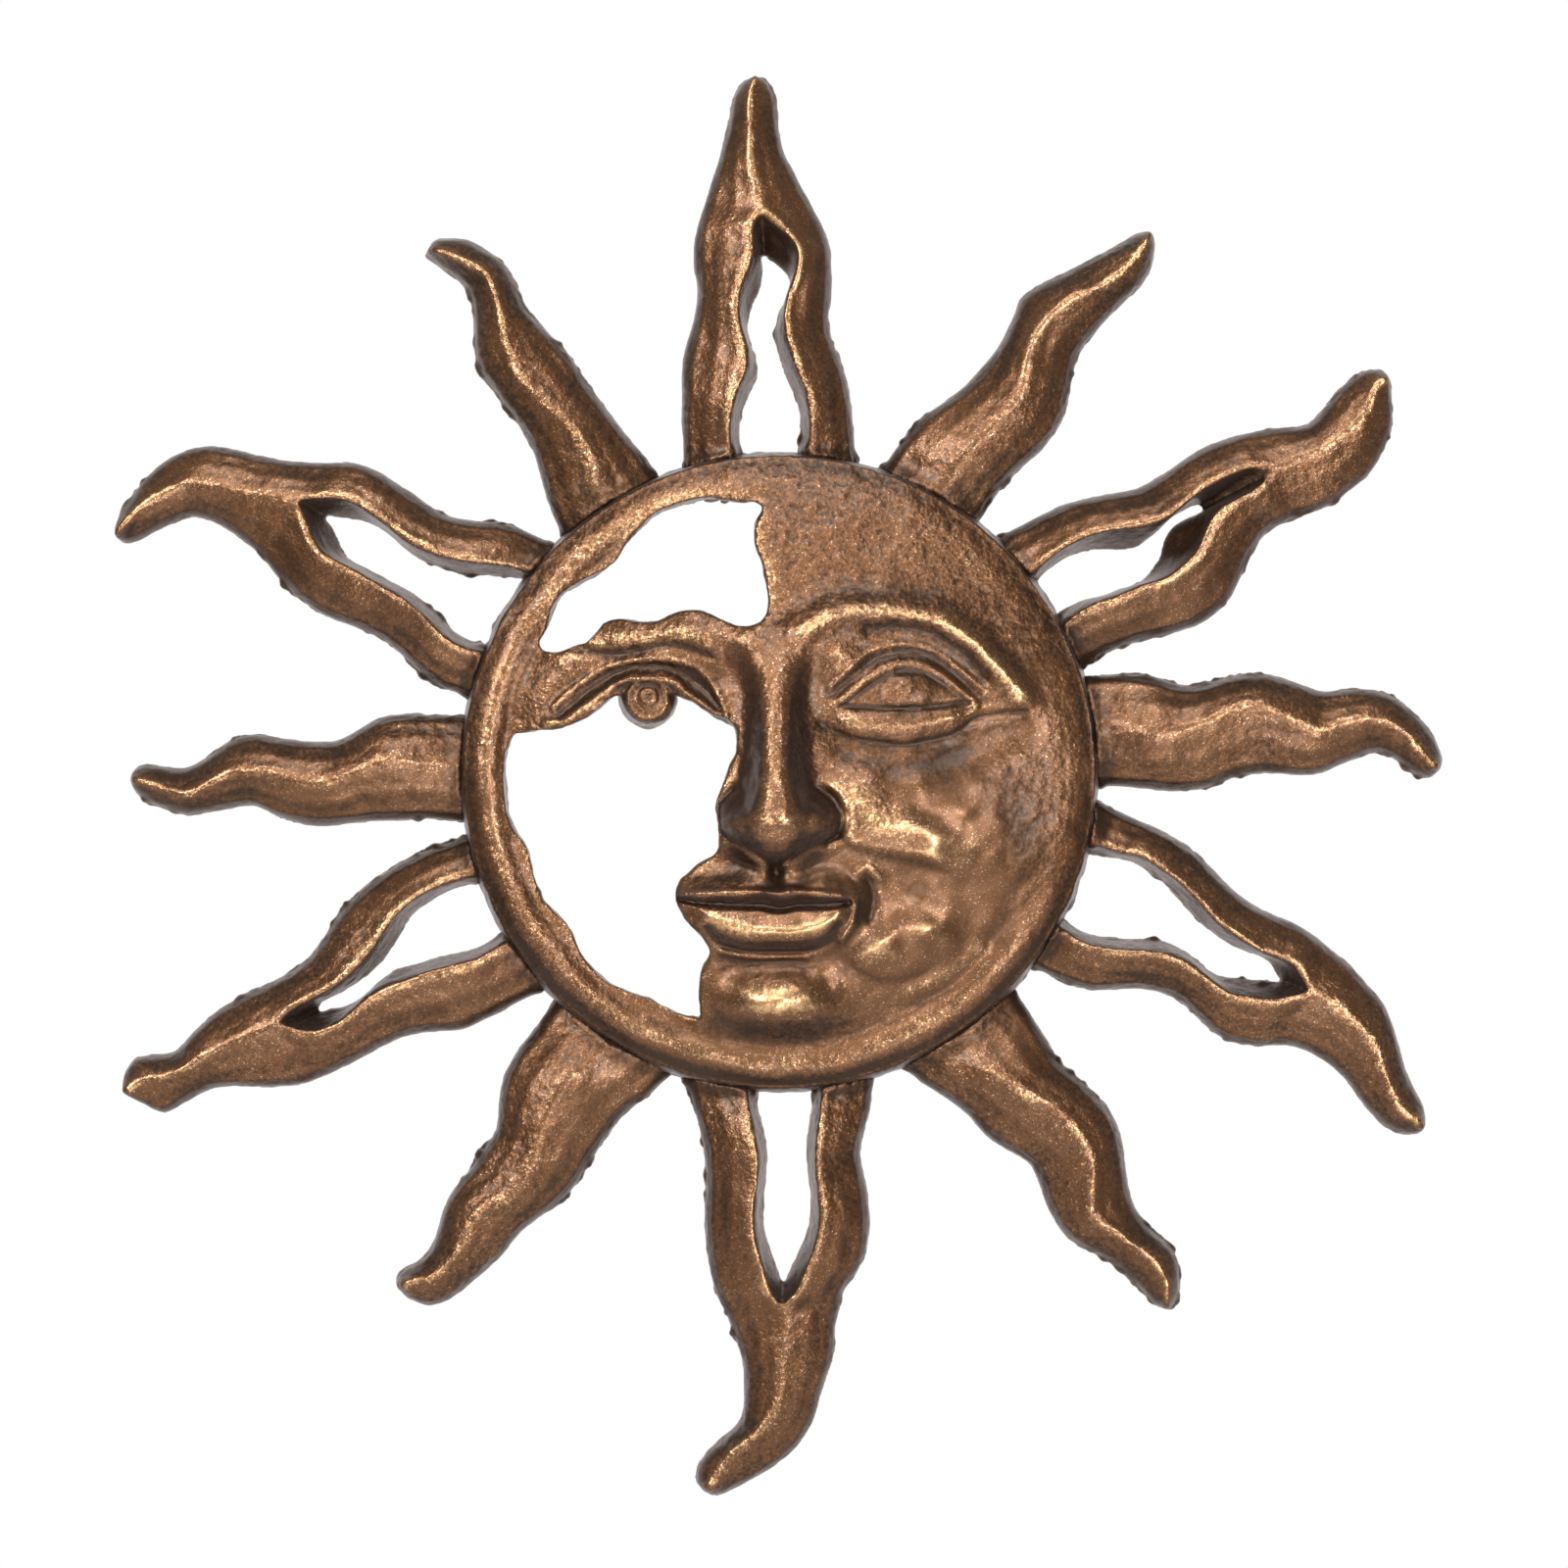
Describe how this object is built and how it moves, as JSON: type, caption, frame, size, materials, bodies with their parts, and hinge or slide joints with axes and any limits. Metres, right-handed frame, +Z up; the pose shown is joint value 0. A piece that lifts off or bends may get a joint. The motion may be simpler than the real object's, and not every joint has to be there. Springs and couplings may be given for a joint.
{
  "type": "cast sun-face wall plaque",
  "caption": "Cast metal sun with a pierced human face and wavy rays, plain and forked, hung on a wall by a keyhole plate on its back.",
  "frame": {"origin": "middle of the hanger plate's entry hole, on the wall plane at the plaque's back", "axes": "+Z up, +X to the right as seen from the front, +Y into the wall, so the face looks along -Y"},
  "size_m": [0.3793, 0.0356, 0.4057],
  "materials": {
    "bronze_casting": "satin dark bronze patina with rubbed gold crests",
    "steel_screw": "satin zinc plating",
    "steel_plate": "satin zinc plating"
  },
  "bodies": {
    "root": {"face_disc": "bronze_casting", "ray_000": "bronze_casting", "ray_030": "bronze_casting", "ray_060": "bronze_casting", "ray_090": "bronze_casting", "ray_120": "bronze_casting", "ray_150": "bronze_casting", "ray_180": "bronze_casting", "ray_210": "bronze_casting", "ray_240": "bronze_casting", "ray_270": "bronze_casting", "ray_300": "bronze_casting", "ray_330": "bronze_casting", "ray_screws": "steel_screw", "hanger_plate": "steel_plate", "hanger_screws": "steel_screw"}
  },
  "joints": []
}
